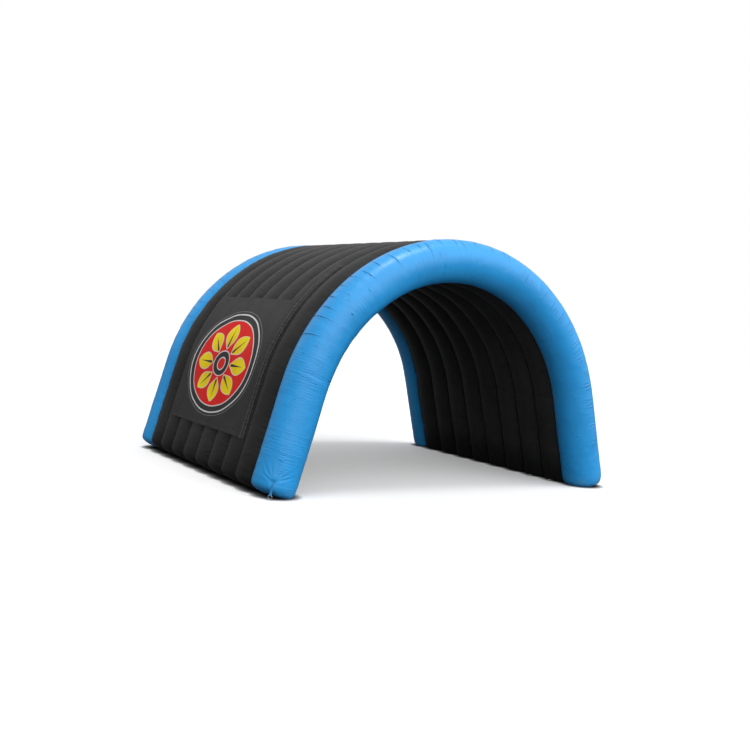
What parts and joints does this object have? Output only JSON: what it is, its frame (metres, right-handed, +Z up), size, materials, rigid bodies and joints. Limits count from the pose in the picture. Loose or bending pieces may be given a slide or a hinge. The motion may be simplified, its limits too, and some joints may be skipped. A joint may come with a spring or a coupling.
{
  "type": "inflatable tunnel",
  "caption": "Walk-through inflatable tunnel with blue end arches, black ribbed walls and roof, a decorated banner on one flank and small ground anchors.",
  "frame": {"origin": "on the ground at the middle of the footprint", "axes": "+X across the tunnel away from the banner, +Y along the tunnel from its front to its back, +Z up"},
  "size_m": [5.0476, 4.01, 3.0024],
  "materials": {
    "blue_fabric": "coated, semi-gloss, wrinkled",
    "black_fabric": "coated, satin",
    "banner_print": "printed cloth, satin",
    "dark_webbing": "woven, matt",
    "pale_webbing": "woven, matt",
    "ring_steel": "zinc plated"
  },
  "bodies": {
    "root": {"front_arch_tube": "blue_fabric", "back_arch_tube": "blue_fabric", "rib_1": "black_fabric", "rib_2": "black_fabric", "rib_3": "black_fabric", "rib_4": "black_fabric", "rib_5": "black_fabric", "rib_6": "black_fabric", "rib_7": "black_fabric", "rib_8": "black_fabric", "side_banner": "banner_print", "banner_edge_tape": "dark_webbing", "ring_strap": "blue_fabric", "anchor_ring": "ring_steel", "anchor_tab_1": "pale_webbing", "anchor_tab_2": "pale_webbing"}
  },
  "joints": []
}
